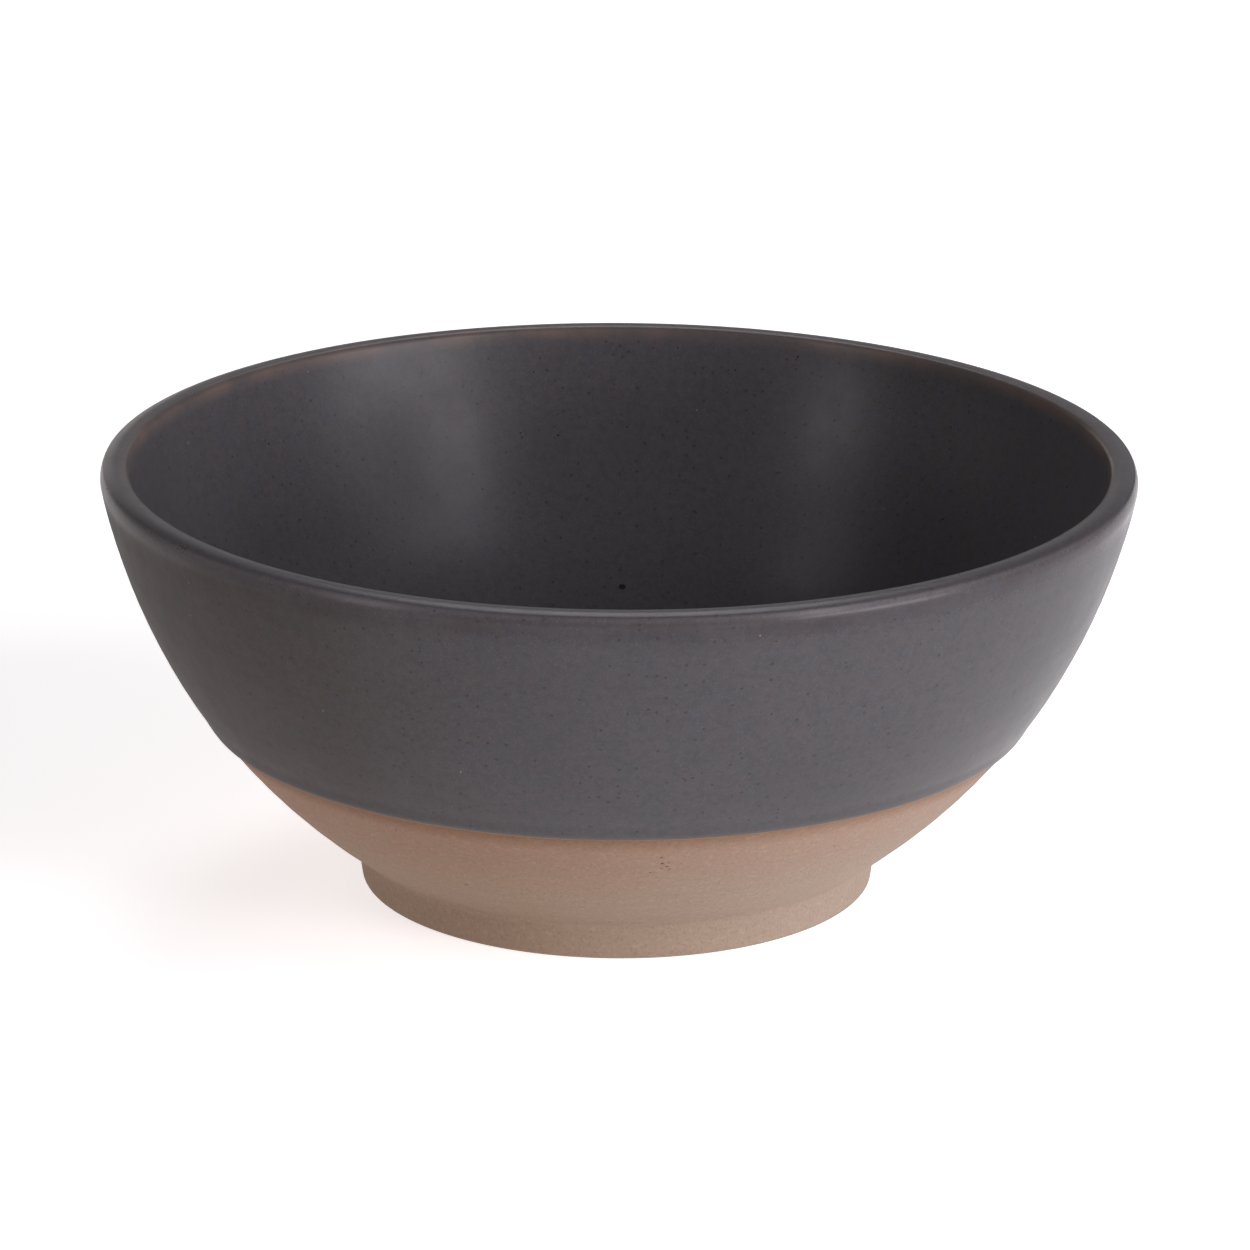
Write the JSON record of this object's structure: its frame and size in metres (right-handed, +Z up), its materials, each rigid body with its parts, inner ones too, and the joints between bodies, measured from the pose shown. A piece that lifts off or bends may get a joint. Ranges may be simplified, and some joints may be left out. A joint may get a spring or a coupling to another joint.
{
  "type": "footed bowl",
  "caption": "Round footed stoneware bowl with a rounded rim, a grey glaze inside and over the upper outside, and bare clay below it.",
  "frame": {"origin": "centre of the foot's underside, on the table, on the bowl's axis", "axes": "+Z up along the bowl's axis; X and Y alike, because the bowl is round"},
  "size_m": [0.15, 0.15, 0.0635],
  "materials": {
    "bare_stoneware": "unglazed fired clay, fine sandy grain, matt",
    "matt_glaze": "slate grey satin-matt glaze with small iron specks"
  },
  "bodies": {
    "root": {"stoneware_body": "bare_stoneware", "foot_ring": "bare_stoneware", "inside_glaze": "matt_glaze", "outside_glaze": "matt_glaze"}
  },
  "joints": []
}
